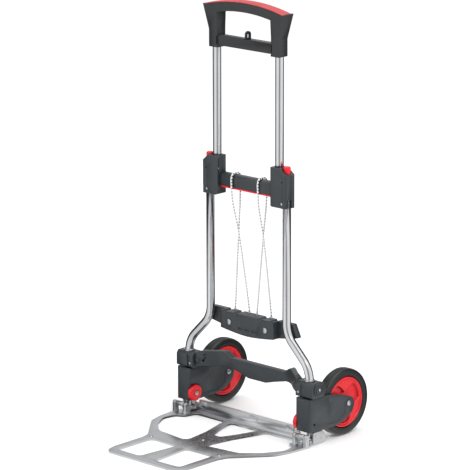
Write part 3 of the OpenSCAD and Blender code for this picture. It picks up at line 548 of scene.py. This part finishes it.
def pad_rings():
    """Crowned pad: every section across the arch is a flat superellipse of power 5, and its
    centre follows the arch, a parabola that falls 18 mm over the 136 mm to each side."""
    half_length, half_width, half_height, crown = 0.1325, 0.0160, 0.0017, 0.0003
    top, fall, reach = 1.1, 0.018, 0.136
    forward, sunk = 0.0018, 0.0018
    x = np.linspace(-half_length, half_length, 160)[:, None]
    turn = np.linspace(0, 2 * np.pi, 72, endpoint=False)[None, :]
    y = tube_y - forward + half_width * folded(np.cos(turn), 0.4)
    z = top - fall * (x / reach) ** 2 - sunk + half_height * folded(np.sin(turn), 0.4)
    z = z - crown * np.cos(turn) ** 2
    return np.stack(np.broadcast_arrays(x, y, z), -1)


handle_black = moulded("handle_black", (0.022, 0.023, 0.025), 0.36, 0.00003, 0.2, 1.8)
finish_node("handle_frame", handle_black, 0.0022)
finish_node("handle_hook", black_plastic, 0.0008)
grip_rubber = moulded("grip_rubber", (0.50, 0.055, 0.060), 0.60, 0.00005, 0.1, 1.2)
piece("grip_pad_soft", grid_mesh("grip_pad", pad_rings(), close_v=True, caps=True),
      grip_rubber, "handle", "grip_rubber", "grip_pad")

# ---------------------------------------------------------------------------------------------
# Wheel forks: an anthracite moulding on each side that turns on the upright shaft, on black
# flanged bushes, with a sunken panel along the arm.
# ---------------------------------------------------------------------------------------------
for name in both("fork"):
    finish_node(name, anthracite, 0.0016)
for name in both("fork_bushes"):
    finish_node(name, black_plastic)

# ---------------------------------------------------------------------------------------------
# Guide rollers: turned red plastic on the forks' inner faces, with a groove round the hub;
# they roll on the folding flange.
# ---------------------------------------------------------------------------------------------
def lathed(section, centre, around):
    """Turns a closed section of (across, radius) pairs about the line along x through centre:
    y and z are the centre's plus radius times the cosine and sine of the turn."""
    turn = np.linspace(0, 2 * np.pi, around, endpoint=False)[:, None]
    across, radius = section[None, :, 0], section[None, :, 1]
    return np.stack(np.broadcast_arrays(
        centre[0] + across, centre[1] + radius * np.cos(turn),
        centre[2] + radius * np.sin(turn)), -1)


def roller_section():
    """Section of a roller, 11 mm wide and 21 mm in radius: a superellipse of power 6 whose
    faces sink by 1.2 mm in a soft groove round the hub."""
    half_width, middle, half_depth, sink = 0.0055, 0.01228, 0.00870, 0.0012
    groove_radius, groove_half = 0.0105, 0.0012
    turn = np.linspace(0, 2 * np.pi, 160, endpoint=False)
    radius = middle + half_depth * folded(np.cos(turn), 1 / 3)
    groove = np.exp(-((radius - groove_radius) / groove_half) ** 4)
    return np.stack([(half_width - sink * groove) * folded(np.sin(turn), 1 / 3), radius], -1)


roller_inset, roller_forward, roller_height = 0.026, 0.008, 0.057
for side, word in sides:
    hub = (side * (pivot_x - roller_inset), tube_y - roller_forward, roller_height)
    piece(f"guide_roller_turned_{word}",
          grid_mesh("roller", lathed(roller_section(), hub, 192), True, True),
          red_plastic, f"guide_roller_{word}", "red_plastic", f"roller_{word}")

# ---------------------------------------------------------------------------------------------
# Tyres: solid black rubber, moulded, with three fine grooves round the tread and one shallow
# groove round each sidewall. Rubbed parts are greyer.
# ---------------------------------------------------------------------------------------------
def tyre_section():
    """Section of a tyre between radius 65 and 86 mm, 32 mm wide: a superellipse of power 4,
    with three narrow grooves in the tread and one shallow groove round each sidewall."""
    half_width, middle, half_depth = 0.0159, 0.07548, 0.01045
    groove_spacing, groove_depth, groove_half = 0.0062, 0.0016, 0.00080
    side_radius, side_half, side_share = 0.0705, 0.0014, 0.035
    turn = np.linspace(0, 2 * np.pi, 360, endpoint=False)
    across = half_width * folded(np.sin(turn), 0.5)
    radius = middle + half_depth * folded(np.cos(turn), 0.5)
    tread = np.clip((radius - 0.0800) / 0.003, 0, 1)
    for line in (-groove_spacing, 0.0, groove_spacing):
        radius = radius - groove_depth * tread * np.exp(-((across - line) / groove_half) ** 4)
    step = np.exp(-((radius - side_radius) / side_half) ** 4) * (np.abs(across) > 0.010)
    return np.stack([across * (1 - side_share * step), radius], -1)


tyre_rubber = moulded("tyre_rubber", (0.011, 0.012, 0.013), 0.36, 0.00003, 0.3, 2.4)
wheel_radius, fork_reach = 0.086, 0.121
wheel_hub = {word: (side * pivot_x, tube_y + fork_reach, wheel_radius) for side, word in sides}
for word, hub in wheel_hub.items():
    piece(f"tyre_moulded_{word}", grid_mesh("tyre", lathed(tyre_section(), hub, 224), True, True),
          tyre_rubber, f"wheel_{word}", "tyre_rubber", f"tyre_{word}")

# ---------------------------------------------------------------------------------------------
# Rims: bright red mouldings pressed into the tyres, a hub and a dished web with three soft
# kidney-shaped pockets on each face; black bearings sit in the hub.
# ---------------------------------------------------------------------------------------------
def rim_grid(hub):
    """Rim as one closed grid of angle and section.

    The face's height over radius is a hub, a dish and a lip joined by smooth steps. Each
    pocket lowers it by a product of smooth steps in radius (24 to 55 mm) and in angle
    (35 degrees to each side of its middle).
    """
    def rise(value, low, high):
        t = np.clip((value - low) / (high - low), 0, 1)
        return t * t * (3 - 2 * t)

    hub_face, dish, lip, pocket = 0.0138, 0.0030, 0.0006, 0.0067
    pocket_middle, pocket_half = 0.0395, 0.016
    out = np.concatenate([np.linspace(0.00806, 0.0240, 26), np.linspace(0.0245, 0.0560, 58),
                          np.linspace(0.0565, 0.0647, 18)])
    turn = np.linspace(0, 2 * np.pi, 288, endpoint=False)[:, None]
    height = hub_face - dish * rise(out, 0.0150, 0.0175) + dish * rise(out, 0.0585, 0.0612)
    height = height - lip * rise(out, 0.0635, 0.0647)
    radial = rise(out, 0.0232, 0.0262) * (1 - rise(out, 0.0530, 0.0560))
    pockets = np.zeros((len(turn), len(out)))
    for k in range(3):
        away = np.abs((turn - math.radians(25 + 120 * k) + np.pi) % (2 * np.pi) - np.pi)
        edge = math.radians(38) - 0.10 * (np.abs(out - pocket_middle) / pocket_half) ** 3
        pockets = np.maximum(pockets, 1 - rise(away * out / 0.040, edge - 0.055, edge))
    face = height - pocket * radial * pockets
    across = np.hstack([face, -face[:, ::-1]])
    radius = np.broadcast_to(np.concatenate([out, out[::-1]]), across.shape)
    return np.stack([hub[0] + across, hub[1] + radius * np.cos(turn),
                     hub[2] + radius * np.sin(turn)], -1)


for word, hub in wheel_hub.items():
    piece(f"rim_dished_{word}", grid_mesh("rim", rim_grid(hub), True, True),
          red_plastic, f"wheel_{word}", "red_plastic", f"rim_{word}")
    finish_node(f"wheel_bearings_{word}", black_plastic)

# ---------------------------------------------------------------------------------------------
# Toe plate: five millimetre aluminium plate with five windows, cut and tumbled. The front is
# bright satin; the middle is painted dark grey and speckled, a painted reflection, and rougher.
# ---------------------------------------------------------------------------------------------
plate_metal, tree, shader = material("plate_metal", (0.66, 0.67, 0.68), 0.34, 1.0)
# painted reflection: a speckled dark grey in the plate's middle stands for dark surroundings
# reflected in it; roughness also rises there
painted_reflection_middle = (0.045, tube_y - 0.125, 0.0)
away = add_node(tree, "ShaderNodeVectorMath", {"operation": "DISTANCE"})
feed(tree, away.inputs[0], add_node(tree, "ShaderNodeTexCoord").outputs["Object"])
feed(tree, away.inputs[1], painted_reflection_middle)
warped = calculate(tree, "MULTIPLY_ADD", noise(tree, 14, 4), 0.06, away.outputs["Value"])
dark_reflection_area = ramp(tree, warped, [(0.11, 1.0), (0.17, 0.0)])
speckle = ramp(tree, noise(tree, 330, 5), [(0.42, 0.0), (0.58, 1.0)])
painted_reflection_grey = mix_colour(tree, speckle, (0.07, 0.07, 0.075), (0.40, 0.40, 0.41))
satin = mix_colour(tree, noise(tree, 40, 5, (0.2, 1, 1)), (0.58, 0.59, 0.61), (0.74, 0.75, 0.77))
tree.links.new(mix_colour(tree, dark_reflection_area, satin, painted_reflection_grey), shader.inputs["Base Color"])
tree.links.new(between(tree, dark_reflection_area, 0.34, 0.55), shader.inputs["Roughness"])
tree.links.new(bump(tree, noise(tree, 900, 4), 0.00003, 0.7), shader.inputs["Normal"])
finish_node("toe_plate", plate_metal, 0.0012)

# ---------------------------------------------------------------------------------------------
# Hinge flange: folded aluminium strip along the plate's back edge, brushed along its length,
# that the rollers run on when the truck folds.
# ---------------------------------------------------------------------------------------------
brushed_strip = drawn_metal("brushed_strip", (0.70, 0.71, 0.73), 0.28, (0.02, 1, 1), 0.000008)
finish_node("hinge_flange", brushed_strip, 0.0007)
